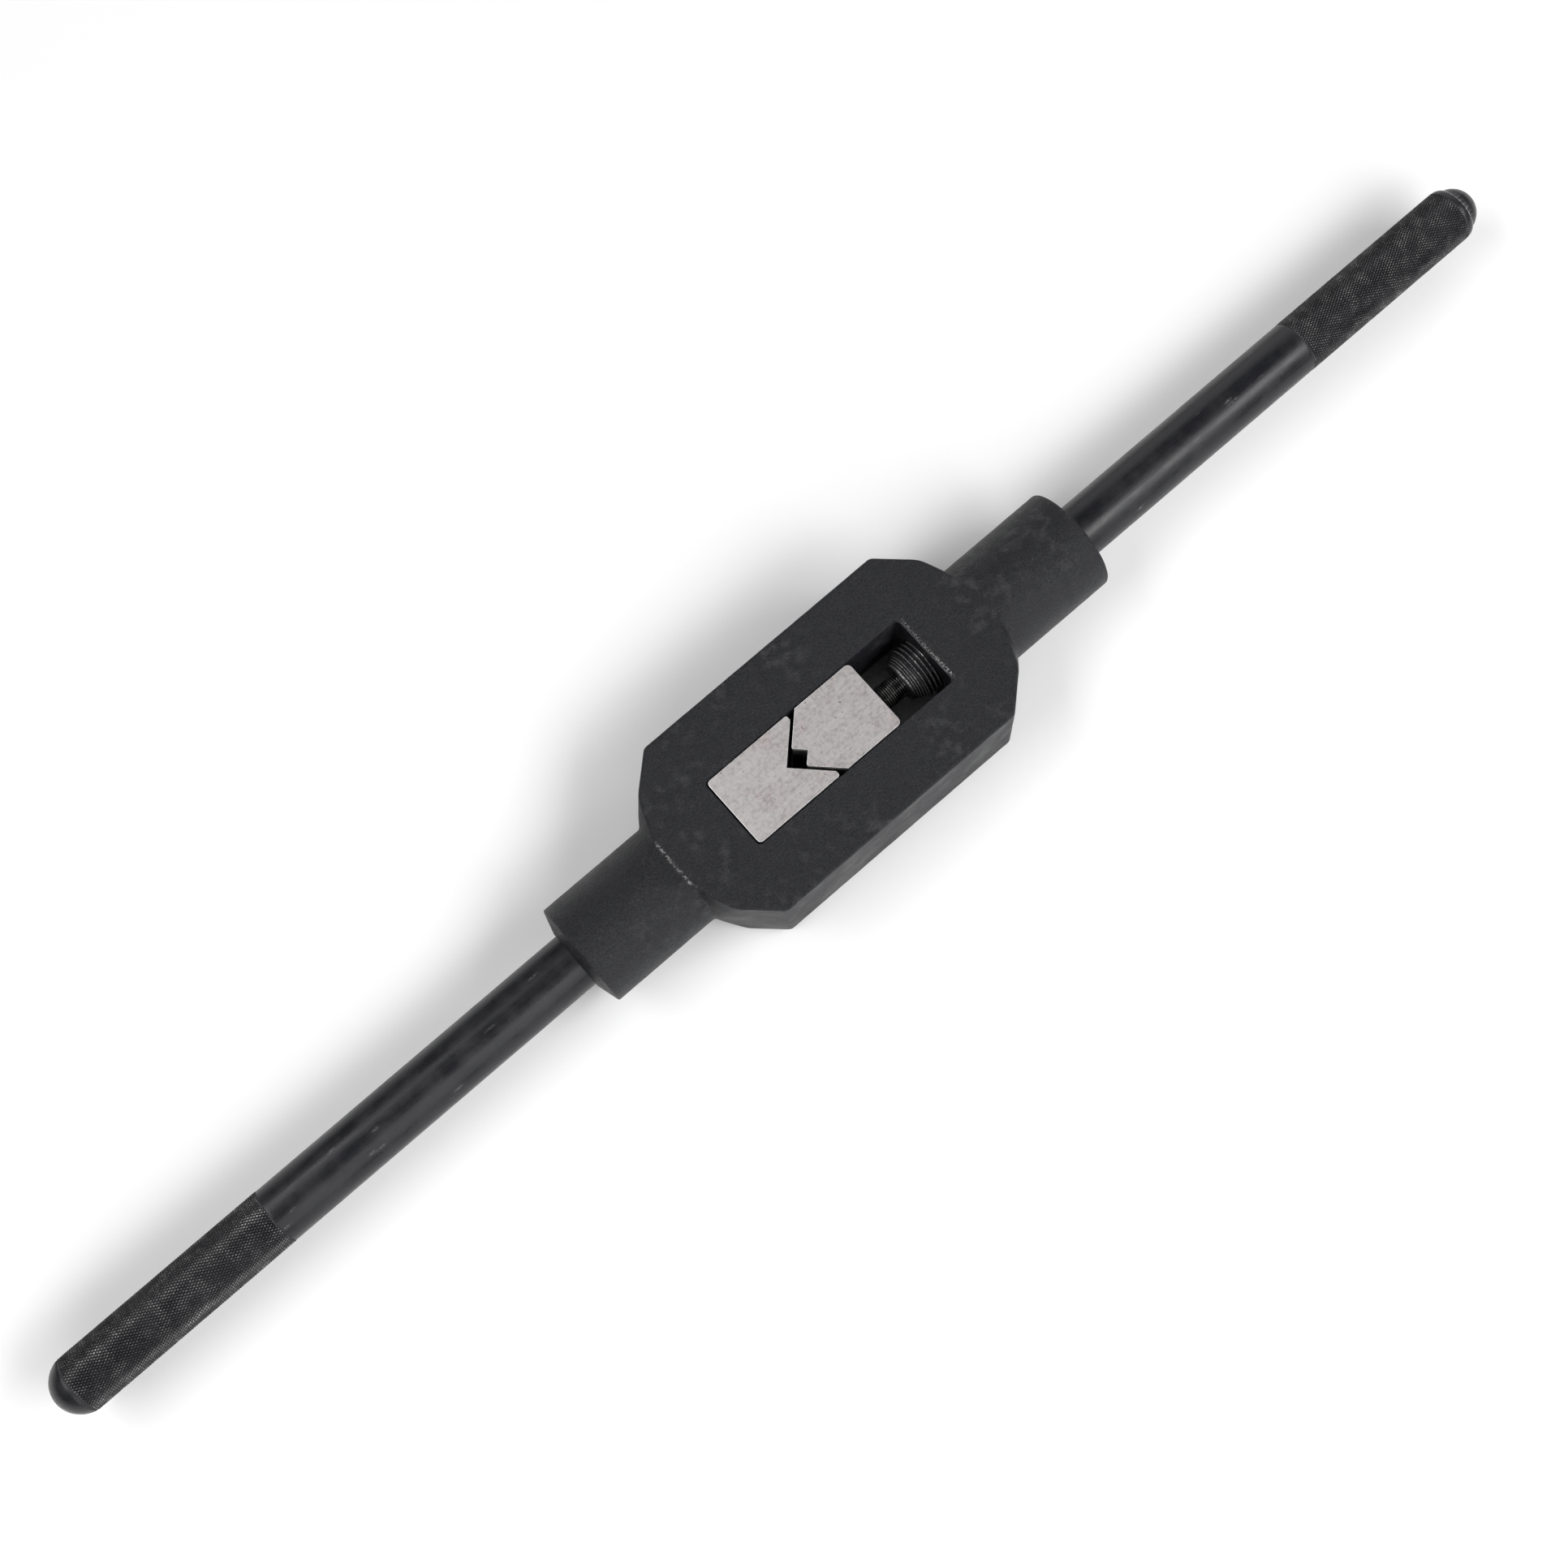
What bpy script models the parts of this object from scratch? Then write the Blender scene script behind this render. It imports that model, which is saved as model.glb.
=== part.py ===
"""Adjustable tap wrench: octagonal cast body, two V jaws in a window, a fixed and a threaded handle.

+X runs along the bar towards the adjusting handle, +Z out of the front face. The origin is under the
middle of the overall length, on the plane that the back plate rests on. Metres throughout.
"""

from math import asin, cos, degrees, pi, radians, sin, sqrt, tan

import bpy
import bmesh
from mathutils import Matrix, Vector

# ------------------------------------------------------------------ driving dimensions

FIXED_REACH = 0.1955        # body centre to the tip of the fixed handle
ADJUST_REACH = 0.1787       # body centre to the tip of the adjusting handle
GAP = 0.0003                # between pieces that touch
SLIDE_GAP = 0.0002          # beside the sliding jaw

BODY_HALF_WIDTH = 0.0216    # at the front face
BODY_DRAFT = 0.0005         # extra half width at the back face, for the mould
BODY_HALF_THICKNESS = 0.0102
STRAIGHT_HALF = 0.0296      # straight part of the long sides, from the body centre
SHOULDER_X = 0.0402         # where the body ends and the bosses begin
BOSS_RADIUS = 0.0116
BOSS_RIM_X = 0.06525        # where each boss's side ends
BOSS_END_X = 0.0665         # its end rises to a low cone round the bar
BOSS_EDGE = 0.0005          # rounding of the boss rims
CONE_SLOPE = 1.85           # radius gained per length on the conical ends
RAMP_LENGTH = 0.0063        # flat ramp from each face up onto the boss crest

WINDOW_HALF_LENGTH = 0.0252
WINDOW_HALF_WIDTH = 0.00825
WINDOW_CORNER = 0.0009
LIP_Z = -0.0082             # underside of the lips that hold the jaws in
CHANNEL_HALF_WIDTH = 0.0092

JAW_TOP = 0.0101
FIXED_NOTCH_X = -0.0111     # apex of the fixed jaw's V
FIXED_TIP_X = -0.0042
MOVABLE_SHOULDER_X = -0.0021
MOVABLE_NOSE_X = -0.00782
MOVABLE_NOTCH_DEPTH = 0.00226
MOVABLE_BACK_X = 0.0120
JAW_CORNER = 0.0008
NOSE_CORNER = 0.00045

FIXED_BAR_RADIUS = 0.00613
FIXED_GRIP_RADIUS = 0.00624
FIXED_KNURL_X = 0.1418      # start of each knurled grip, from the body centre
FIXED_SPIGOT_X = 0.0385     # inner end of the fixed handle in its boss
FIXED_DOME_HEIGHT = 0.0049
ADJUST_BAR_RADIUS = 0.00597
ADJUST_GRIP_RADIUS = 0.00603
ADJUST_THREAD_X = 0.0190    # inner end of the adjusting handle, in the window
ADJUST_KNURL_X = 0.1280
ADJUST_KNURL_END_X = 0.1727
ADJUST_RIM_X = 0.1744       # end of the bar, where the smaller domed cap begins
ADJUST_RIM_RADIUS = 0.0052
ADJUST_CAP_RADIUS = 0.00495
ADJUST_CAP_HEIGHT = 0.0036
SPIGOT_CHAMFER = 0.0008
LEAD_LENGTH = 0.0032        # cone on which the adjusting thread starts
LEAD_RADIUS = 0.0042

DRAW_STEM_RADIUS = 0.00275
DRAW_HEAD_RADIUS = 0.0044
DRAW_HEAD_X = 0.0050        # inner face of the captive head
DRAW_HEAD_LENGTH = 0.0030
DRAW_TAIL_X = 0.0300        # end of the stem, inside the handle

PLATE_HALF_LENGTH = 0.0335
PLATE_HALF_WIDTH = 0.0115
PLATE_THICKNESS = 0.0013
PLATE_CORNER = 0.0025
SCREW_X = 0.0298
SCREW_Y = 0.0078
SCREW_RADIUS = 0.0014
SCREW_HEAD_RADIUS = 0.0026
SCREW_LENGTH = 0.0062
PIN_X = -0.0195
PIN_RADIUS = 0.0020
PIN_LENGTH = 0.0085

BODY_SEGMENTS = 64
BAR_SEGMENTS = 40
SMALL_SEGMENTS = 24

# ------------------------------------------------------------------ derived places

BODY_X = (FIXED_REACH - ADJUST_REACH) / 2
PLATE_TOP = -BODY_HALF_THICKNESS - GAP
PLATE_BOTTOM = PLATE_TOP - PLATE_THICKNESS
AXIS_Z = -PLATE_BOTTOM      # height of the bars' axis above the resting plane
JAW_HALF_WIDTH = WINDOW_HALF_WIDTH - SLIDE_GAP
FLANGE_HALF_WIDTH = CHANNEL_HALF_WIDTH - SLIDE_GAP
BODY_CENTRE = Vector((BODY_X, 0, AXIS_Z))


# ------------------------------------------------------------------ scene and helpers

def clear_scene():
    for old in list(bpy.data.objects):
        bpy.data.objects.remove(old, do_unlink=True)


def collection(name):
    group = bpy.data.collections.new(name)
    bpy.context.scene.collection.children.link(group)
    return group


def material(name, colour, roughness, metallic):
    made = bpy.data.materials.new(name)
    made.use_nodes = True
    shader = made.node_tree.nodes["Principled BSDF"]
    shader.inputs["Base Color"].default_value = (*colour, 1)
    shader.inputs["Roughness"].default_value = roughness
    shader.inputs["Metallic"].default_value = metallic
    return made


def add_object(name, mesh, group):
    made = bpy.data.objects.new(name, mesh)
    group.objects.link(made)
    return made


def as_cutter(tool):
    tool.hide_render = True
    tool.display_type = "WIRE"
    return tool


def baked(source, name, group):
    """Replace a modifier stack or a curve by a welded mesh object at the same place."""
    depsgraph = bpy.context.evaluated_depsgraph_get()
    shape = source.evaluated_get(depsgraph)
    mesh = bpy.data.meshes.new_from_object(shape, depsgraph=depsgraph)
    mesh.name = name
    work = bmesh.new()
    work.from_mesh(mesh)
    bmesh.ops.remove_doubles(work, verts=work.verts, dist=0.000001)
    work.to_mesh(mesh)
    work.free()
    made = add_object(name, mesh, group)
    made.matrix_world = source.matrix_world.copy()
    bpy.data.objects.remove(source, do_unlink=True)
    return made


def arc(centre, radius, start, end, count):
    """Points on a circle in the profile plane, from start to end degrees."""
    turns = [radians(start + (end - start) * i / count) for i in range(count + 1)]
    return [(centre[0] + radius * cos(a), centre[1] + radius * sin(a)) for a in turns]


def turned(name, profile, segments, group):
    """Solid of revolution about the X axis from (x, radius) points given from +X to -X."""
    mesh = bpy.data.meshes.new(name)
    points = [(radius, 0, x) for x, radius in profile]
    mesh.from_pydata(points, [(i, i + 1) for i in range(len(points) - 1)], [])
    raw = add_object(name + "_profile", mesh, group)
    screw = raw.modifiers.new("Turn", "SCREW")
    screw.axis = "Z"
    screw.steps = segments
    screw.render_steps = segments
    screw.use_merge_vertices = True
    screw.merge_threshold = 0.000001
    bpy.context.view_layer.update()
    made = baked(raw, name, group)
    made.data.transform(Matrix.Rotation(pi / 2, 4, "Y"))
    return made


def prism(name, outline, low, high, group):
    """Flat outline in XY made solid from low to high along Z."""
    curve = bpy.data.curves.new(name, "CURVE")
    curve.dimensions = "2D"
    curve.fill_mode = "BOTH"
    curve.extrude = (high - low) / 2
    spline = curve.splines.new("POLY")
    spline.points.add(len(outline) - 1)
    for point, (x, y) in zip(spline.points, outline):
        point.co = (x, y, 0, 1)
    spline.use_cyclic_u = True
    raw = add_object(name + "_outline", curve, group)
    bpy.context.view_layer.update()
    made = baked(raw, name, group)
    made.data.transform(Matrix.Translation((0, 0, (high + low) / 2)))
    return made


def box(name, low, high, group):
    """Box between two corners, from the cube primitive."""
    mesh = bpy.data.meshes.new(name)
    work = bmesh.new()
    bmesh.ops.create_cube(work, size=1)
    size = [b - a for a, b in zip(low, high)]
    middle = [(a + b) / 2 for a, b in zip(low, high)]
    bmesh.ops.scale(work, vec=size, verts=work.verts)
    bmesh.ops.translate(work, vec=middle, verts=work.verts)
    work.to_mesh(mesh)
    work.free()
    return add_object(name, mesh, group)


def rod(name, radius, start, end, segments, group):
    """Plain cylinder between two points."""
    start, end = Vector(start), Vector(end)
    mesh = bpy.data.meshes.new(name)
    work = bmesh.new()
    bmesh.ops.create_cone(work, cap_ends=True, segments=segments, radius1=radius,
                          radius2=radius, depth=(end - start).length)
    turn = (end - start).to_track_quat("Z", "Y").to_matrix().to_4x4()
    bmesh.ops.transform(work, matrix=Matrix.Translation((start + end) / 2) @ turn, verts=work.verts)
    work.to_mesh(mesh)
    work.free()
    return add_object(name, mesh, group)


def rounded(outline, radii, count=5):
    """Round the corners of a closed outline; radii holds one radius per point."""
    result = []
    size = len(outline)
    for i, radius in enumerate(radii):
        here = Vector(outline[i])
        if radius == 0:
            result.append(tuple(here))
            continue
        back = (Vector(outline[i - 1]) - here).normalized()
        ahead = (Vector(outline[(i + 1) % size]) - here).normalized()
        half = back.angle(ahead) / 2
        centre = here + (back + ahead).normalized() * radius / sin(half)
        first = here + back * radius / tan(half) - centre
        last = here + ahead * radius / tan(half) - centre
        sweep = first.angle_signed(last)
        for step in range(count + 1):
            turn = Matrix.Rotation(-sweep * step / count, 2)
            result.append(tuple(centre + turn @ first))
    return result


def rectangle(half_length, half_width):
    return [(-half_length, -half_width), (half_length, -half_width),
            (half_length, half_width), (-half_length, half_width)]


def boolean(target, tool, operation="DIFFERENCE"):
    change = target.modifiers.new(operation.title() + " " + tool.name, "BOOLEAN")
    change.operation = operation
    change.object = as_cutter(tool)
    change.solver = "EXACT"


def finish(part, look, smooth_angle=None):
    """Set a part in its place on the wrench, with its material and shading."""
    part.location = BODY_CENTRE
    part.data.materials.clear()
    part.data.materials.append(look)
    if smooth_angle:
        part.data.shade_smooth()
        part.data.set_sharp_from_angle(angle=radians(smooth_angle))
    for change in part.modifiers:
        if change.type == "BOOLEAN":
            change.object.location = BODY_CENTRE


# ------------------------------------------------------------------ the casting

def body_profile():
    """Half outline of the turned blank: bosses, conical ends and a waist that the faces cut."""
    rim = BOSS_RIM_X - BOSS_EDGE
    blank_radius = 1.05 * sqrt(BODY_HALF_WIDTH ** 2 + BODY_HALF_THICKNESS ** 2)
    cone_x = SHOULDER_X - (blank_radius - BOSS_RADIUS) / CONE_SLOPE
    corner = arc((rim, BOSS_RADIUS - BOSS_EDGE), BOSS_EDGE, 0, 90, 3)
    crown = [(BOSS_END_X, 0), (BOSS_END_X, FIXED_BAR_RADIUS + 2 * GAP)]
    right = crown + corner[1:] + [(SHOULDER_X, BOSS_RADIUS), (cone_x, blank_radius)]
    left = [(-x, radius) for x, radius in reversed(right)]
    return right + left


def plan_outline():
    """The long box with its clipped corners, seen from the front, at the front face."""
    reach = BOSS_END_X + 0.005
    quarter = [(reach, BOSS_RADIUS + 0.001), (SHOULDER_X - 0.0009, BOSS_RADIUS + 0.001),
               (STRAIGHT_HALF, BODY_HALF_WIDTH)]
    upper = quarter + [(-x, y) for x, y in reversed(quarter)]
    return upper + [(x, -y) for x, y in reversed(upper)]


def side_outline():
    """Both faces and the ramps up onto the boss crests, seen from the side (x, z)."""
    reach = BOSS_END_X + 0.005
    ramp_end = SHOULDER_X + RAMP_LENGTH
    top = BOSS_RADIUS + 0.0004
    slope = (BOSS_RADIUS - BODY_HALF_THICKNESS) / RAMP_LENGTH
    over = ramp_end + (top - BOSS_RADIUS) / slope
    quarter = [(reach, top), (over, top), (SHOULDER_X, BODY_HALF_THICKNESS)]
    upper = quarter + [(-x, z) for x, z in reversed(quarter)]
    return upper + [(x, -z) for x, z in reversed(upper)]


def add_draft(tool):
    """Lean the plan cutter's long sides outward towards the back."""
    slope = BODY_DRAFT / (2 * BODY_HALF_THICKNESS)
    for vertex in tool.data.vertices:
        outward = 1 if vertex.co.y > 0 else -1
        vertex.co.y += outward * slope * (BODY_HALF_THICKNESS - vertex.co.z)


def build_body(parts, cutters, look):
    body = turned("body", body_profile(), BODY_SEGMENTS, parts)
    wide = BODY_HALF_WIDTH + 0.005
    plan = prism("cut_plan", plan_outline(), -wide, wide, cutters)
    add_draft(plan)
    side = prism("cut_side", side_outline(), -wide, wide, cutters)
    side.data.transform(Matrix.Rotation(pi / 2, 4, "X"))
    boolean(body, plan, "INTERSECT")
    boolean(body, side, "INTERSECT")

    window = rounded(rectangle(WINDOW_HALF_LENGTH, WINDOW_HALF_WIDTH), [WINDOW_CORNER] * 4)
    beyond = BODY_HALF_THICKNESS + 0.002
    boolean(body, prism("cut_window", window, -beyond, beyond, cutters))
    channel = rounded(rectangle(WINDOW_HALF_LENGTH, CHANNEL_HALF_WIDTH), [WINDOW_CORNER] * 4)
    boolean(body, prism("cut_channel", channel, -beyond, LIP_Z, cutters))

    outside = BOSS_END_X + 0.001
    boolean(body, rod("cut_fixed_bore", FIXED_BAR_RADIUS + GAP, (-outside, 0, 0),
                      (-FIXED_SPIGOT_X + GAP, 0, 0), BAR_SEGMENTS, cutters))
    boolean(body, rod("cut_adjust_bore", ADJUST_BAR_RADIUS + GAP, (WINDOW_HALF_LENGTH - 0.001, 0, 0),
                      (outside, 0, 0), BAR_SEGMENTS, cutters))
    depth = -BODY_HALF_THICKNESS + SCREW_LENGTH
    for index, (x, y) in enumerate(screw_places(), start=1):
        boolean(body, rod(f"cut_screw_hole_{index}", SCREW_RADIUS + GAP, (x, y, -beyond),
                          (x, y, depth), SMALL_SEGMENTS, cutters))
    finish(body, look, 35)


# ------------------------------------------------------------------ jaws

def fixed_jaw_outline(half_width):
    back = -WINDOW_HALF_LENGTH + GAP
    flank = FIXED_TIP_X - FIXED_NOTCH_X
    outline = [(back, -half_width), (FIXED_TIP_X, -half_width), (FIXED_TIP_X, -flank),
               (FIXED_NOTCH_X, 0), (FIXED_TIP_X, flank), (FIXED_TIP_X, half_width), (back, half_width)]
    tip = JAW_CORNER / 2
    return rounded(outline, [WINDOW_CORNER, 0, tip, 0, tip, 0, WINDOW_CORNER])


def movable_jaw_outline(half_width):
    shoulder_y = MOVABLE_SHOULDER_X - MOVABLE_NOSE_X + MOVABLE_NOTCH_DEPTH
    notch_x = MOVABLE_NOSE_X + MOVABLE_NOTCH_DEPTH
    nose_y = MOVABLE_NOTCH_DEPTH
    upper = [(MOVABLE_BACK_X, half_width), (MOVABLE_SHOULDER_X, half_width),
             (MOVABLE_SHOULDER_X, shoulder_y), (MOVABLE_NOSE_X, nose_y)]
    outline = upper + [(notch_x, 0)] + [(x, -y) for x, y in reversed(upper)]
    return rounded(outline, [JAW_CORNER, 0, 0, NOSE_CORNER, 0, NOSE_CORNER, 0, 0, JAW_CORNER])


def jaw(name, outline, parts, cutters):
    """T-shaped block: a flange at channel width under a block at window width."""
    foot_top = LIP_Z - GAP
    foot_bottom = PLATE_TOP + GAP
    block = prism(name, outline(FLANGE_HALF_WIDTH), foot_bottom, foot_top, parts)
    upper = prism(f"join_{name}", outline(JAW_HALF_WIDTH), foot_bottom + 0.001, JAW_TOP, cutters)
    boolean(block, upper, "UNION")
    return block


def build_fixed_jaw(parts, cutters, look):
    block = jaw("fixed_jaw", fixed_jaw_outline, parts, cutters)
    boolean(block, rod("cut_pin_hole", PIN_RADIUS + GAP, (PIN_X, 0, PLATE_BOTTOM),
                       (PIN_X, 0, PLATE_BOTTOM + PIN_LENGTH + 2 * GAP), SMALL_SEGMENTS, cutters))
    finish(block, look)


def build_movable_jaw(parts, cutters, look):
    block = jaw("movable_jaw", movable_jaw_outline, parts, cutters)
    slot = DRAW_STEM_RADIUS + GAP
    pocket = DRAW_HEAD_RADIUS + GAP
    below = PLATE_TOP - 0.001
    pocket_low = DRAW_HEAD_X - GAP
    pocket_high = DRAW_HEAD_X + DRAW_HEAD_LENGTH + GAP
    outside = MOVABLE_BACK_X + 0.001
    boolean(block, rod("cut_stem_round", slot, (pocket_low + 0.0001, 0, 0), (outside, 0, 0),
                       SMALL_SEGMENTS, cutters))
    boolean(block, box("cut_stem_slot", (pocket_low + 0.0001, -slot, below), (outside, slot, 0), cutters))
    boolean(block, rod("cut_head_round", pocket, (pocket_low, 0, 0), (pocket_high, 0, 0),
                       SMALL_SEGMENTS, cutters))
    boolean(block, box("cut_head_slot", (pocket_low, -pocket, below), (pocket_high, pocket, 0), cutters))
    finish(block, look)


# ------------------------------------------------------------------ handles and the draw screw

def domed_end(tip, base_radius, height, count):
    """Profile points of a spherical cap on the +X side, from beside its tip down to its base."""
    ball = (base_radius ** 2 + height ** 2) / (2 * height)
    spread = degrees(asin(base_radius / ball))
    return arc((tip - ball, 0), ball, 0, spread, count)[1:]


def build_fixed_handle(parts, look):
    dome = domed_end(FIXED_REACH, FIXED_BAR_RADIUS, FIXED_DOME_HEIGHT, 8)
    profile = [(-FIXED_SPIGOT_X, 0), (-FIXED_SPIGOT_X, FIXED_BAR_RADIUS - SPIGOT_CHAMFER),
               (-FIXED_SPIGOT_X - SPIGOT_CHAMFER, FIXED_BAR_RADIUS), (-FIXED_KNURL_X, FIXED_BAR_RADIUS),
               (-FIXED_KNURL_X, FIXED_GRIP_RADIUS), (-FIXED_REACH + FIXED_DOME_HEIGHT, FIXED_GRIP_RADIUS)]
    profile += [(-x, radius) for x, radius in reversed(dome)] + [(-FIXED_REACH, 0)]
    handle = turned("fixed_handle", profile, BAR_SEGMENTS, parts)
    finish(handle, look, 35)


def build_adjusting_handle(parts, cutters, look):
    cap = domed_end(ADJUST_REACH, ADJUST_CAP_RADIUS, ADJUST_CAP_HEIGHT, 6)
    profile = [(ADJUST_REACH, 0)] + cap
    profile += [(ADJUST_RIM_X, ADJUST_CAP_RADIUS), (ADJUST_RIM_X, ADJUST_RIM_RADIUS),
                (ADJUST_KNURL_END_X, ADJUST_GRIP_RADIUS), (ADJUST_KNURL_X, ADJUST_GRIP_RADIUS),
                (ADJUST_KNURL_X, ADJUST_BAR_RADIUS), (ADJUST_THREAD_X + LEAD_LENGTH, ADJUST_BAR_RADIUS),
                (ADJUST_THREAD_X, LEAD_RADIUS), (ADJUST_THREAD_X, 0)]
    handle = turned("adjusting_handle", profile, BAR_SEGMENTS, parts)
    boolean(handle, rod("cut_tapped_hole", DRAW_STEM_RADIUS + GAP, (ADJUST_THREAD_X - 0.001, 0, 0),
                        (DRAW_TAIL_X + GAP, 0, 0), SMALL_SEGMENTS, cutters))
    finish(handle, look, 35)


def build_draw_screw(parts, cutters, look):
    head_end = DRAW_HEAD_X + DRAW_HEAD_LENGTH
    edge = 0.0004
    profile = [(DRAW_TAIL_X, 0), (DRAW_TAIL_X, DRAW_STEM_RADIUS - edge),
               (DRAW_TAIL_X - edge, DRAW_STEM_RADIUS), (head_end, DRAW_STEM_RADIUS),
               (head_end, DRAW_HEAD_RADIUS), (DRAW_HEAD_X + edge, DRAW_HEAD_RADIUS),
               (DRAW_HEAD_X, DRAW_HEAD_RADIUS - edge), (DRAW_HEAD_X, 0)]
    screw = turned("jaw_draw_screw", profile, SMALL_SEGMENTS, parts)
    half_slot = 0.0006
    reach = DRAW_HEAD_RADIUS + 0.001
    boolean(screw, box("cut_draw_slot", (DRAW_HEAD_X - 0.001, -reach, -half_slot),
                       (DRAW_HEAD_X + 0.0012, reach, half_slot), cutters))
    finish(screw, look, 35)


# ------------------------------------------------------------------ back plate and its fasteners

def screw_places():
    return [(x, y) for x in (-SCREW_X, SCREW_X) for y in (-SCREW_Y, SCREW_Y)]


def upright(part, place):
    """Stand a piece that was turned about X up on Z, with its start at the given place."""
    part.data.transform(Matrix.Translation(place) @ Matrix.Rotation(-pi / 2, 4, "Y"))


def build_back_plate(parts, cutters, look):
    outline = rounded(rectangle(PLATE_HALF_LENGTH, PLATE_HALF_WIDTH), [PLATE_CORNER] * 4)
    plate = prism("back_plate", outline, PLATE_BOTTOM, PLATE_TOP, parts)
    for index, (x, y) in enumerate(screw_places(), start=1):
        low, high = 0.001, PLATE_THICKNESS + 0.001
        profile = [(high, 0), (high, SCREW_RADIUS + GAP), (PLATE_THICKNESS - 0.0002, SCREW_RADIUS + GAP),
                   (0, SCREW_HEAD_RADIUS + GAP), (-low, SCREW_HEAD_RADIUS + GAP), (-low, 0)]
        seat = turned(f"cut_screw_seat_{index}", profile, SMALL_SEGMENTS, cutters)
        upright(seat, (x, y, PLATE_BOTTOM))
        boolean(plate, seat)
    boolean(plate, rod("cut_pin_clearance", PIN_RADIUS + GAP, (PIN_X, 0, PLATE_BOTTOM - 0.001),
                       (PIN_X, 0, PLATE_TOP + 0.001), SMALL_SEGMENTS, cutters))
    finish(plate, look)


def build_plate_screws(parts, cutters, look):
    under = 0.0001
    head_height = PLATE_THICKNESS - 0.0002
    for index, (x, y) in enumerate(screw_places(), start=1):
        profile = [(SCREW_LENGTH, 0), (SCREW_LENGTH, SCREW_RADIUS - 0.0003),
                   (SCREW_LENGTH - 0.0003, SCREW_RADIUS), (head_height, SCREW_RADIUS),
                   (under, SCREW_HEAD_RADIUS - under), (under, 0)]
        screw = turned(f"back_plate_screw_{index}", profile, SMALL_SEGMENTS, parts)
        upright(screw, (x, y, PLATE_BOTTOM))
        half_slot = 0.0003
        reach = SCREW_HEAD_RADIUS + 0.001
        boolean(screw, box(f"cut_slot_{index}", (x - reach, y - half_slot, PLATE_BOTTOM - 0.001),
                           (x + reach, y + half_slot, PLATE_BOTTOM + 0.0007), cutters))
        finish(screw, look, 35)


def build_jaw_pin(parts, look):
    edge = 0.0003
    profile = [(PIN_LENGTH, 0), (PIN_LENGTH, PIN_RADIUS - edge), (PIN_LENGTH - edge, PIN_RADIUS),
               (2 * edge, PIN_RADIUS), (edge, PIN_RADIUS - edge), (edge, 0)]
    pin = turned("fixed_jaw_pin", profile, SMALL_SEGMENTS, parts)
    upright(pin, (PIN_X, 0, PLATE_BOTTOM))
    finish(pin, look, 35)


def main():
    clear_scene()
    parts = collection("tap_wrench")
    cutters = collection("cutters")
    cast_black = material("cast_black", (0.030, 0.030, 0.032), 0.62, 0.0)
    bar_black = material("bar_black", (0.022, 0.022, 0.025), 0.34, 0.0)
    ground_steel = material("ground_steel", (0.58, 0.56, 0.55), 0.38, 1.0)
    dark_steel = material("dark_steel", (0.09, 0.09, 0.095), 0.42, 1.0)
    plate_grey = material("plate_grey", (0.14, 0.14, 0.145), 0.55, 1.0)

    build_body(parts, cutters, cast_black)
    build_fixed_jaw(parts, cutters, ground_steel)
    build_movable_jaw(parts, cutters, ground_steel)
    build_draw_screw(parts, cutters, dark_steel)
    build_adjusting_handle(parts, cutters, bar_black)
    build_fixed_handle(parts, bar_black)
    build_back_plate(parts, cutters, plate_grey)
    build_plate_screws(parts, cutters, dark_steel)
    build_jaw_pin(parts, ground_steel)
    bpy.context.view_layer.update()


main()
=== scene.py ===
"""Looks of the adjustable tap wrench: cast body, ground jaws, knurled bars and cut threads."""

from math import cos, hypot, pi, radians, sin, sqrt, tan

import bmesh
import bpy
import numpy as np
from mathutils import Matrix, Quaternion, Vector


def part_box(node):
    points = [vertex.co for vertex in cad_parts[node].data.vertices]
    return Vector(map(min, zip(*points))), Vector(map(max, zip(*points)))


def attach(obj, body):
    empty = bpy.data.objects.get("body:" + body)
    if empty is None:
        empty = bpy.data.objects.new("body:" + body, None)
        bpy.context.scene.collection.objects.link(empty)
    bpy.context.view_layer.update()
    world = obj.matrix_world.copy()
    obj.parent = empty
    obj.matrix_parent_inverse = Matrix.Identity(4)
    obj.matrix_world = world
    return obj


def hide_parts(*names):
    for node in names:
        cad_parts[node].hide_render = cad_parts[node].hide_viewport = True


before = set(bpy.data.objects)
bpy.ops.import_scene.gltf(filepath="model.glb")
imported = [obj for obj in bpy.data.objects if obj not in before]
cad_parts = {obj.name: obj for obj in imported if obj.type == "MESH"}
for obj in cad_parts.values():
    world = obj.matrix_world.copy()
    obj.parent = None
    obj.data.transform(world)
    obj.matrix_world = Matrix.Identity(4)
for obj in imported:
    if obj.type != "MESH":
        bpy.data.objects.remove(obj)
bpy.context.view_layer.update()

# ------------------------------------------------------------------ places read from the CAD frame


def centre(node):
    low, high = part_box(node)
    return (Vector(low) + Vector(high)) / 2


def size(node):
    low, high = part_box(node)
    return Vector(high) - Vector(low)


BODY_X = centre("body").x
AXIS_Z = centre("fixed_handle").z
ORIGIN = Vector((BODY_X, 0, AXIS_Z))

BOSS_END = size("body").x / 2
HALF_WIDTH = size("body").y / 2
BOSS_RADIUS = size("body").z / 2
BAR_TIP = BODY_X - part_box("fixed_handle")[0][0]
BAR_ROOT = BODY_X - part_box("fixed_handle")[1][0]
FIXED_GRIP_RADIUS = size("fixed_handle").y / 2
ADJUST_GRIP_RADIUS = size("adjusting_handle").y / 2
GRIP_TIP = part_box("adjusting_handle")[1][0] - BODY_X
GRIP_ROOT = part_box("adjusting_handle")[0][0] - BODY_X
JAW_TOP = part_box("fixed_jaw")[1][2] - AXIS_Z
JAW_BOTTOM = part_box("fixed_jaw")[0][2] - AXIS_Z
FIXED_JAW_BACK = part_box("fixed_jaw")[0][0] - BODY_X
FIXED_JAW_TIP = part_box("fixed_jaw")[1][0] - BODY_X
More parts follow.
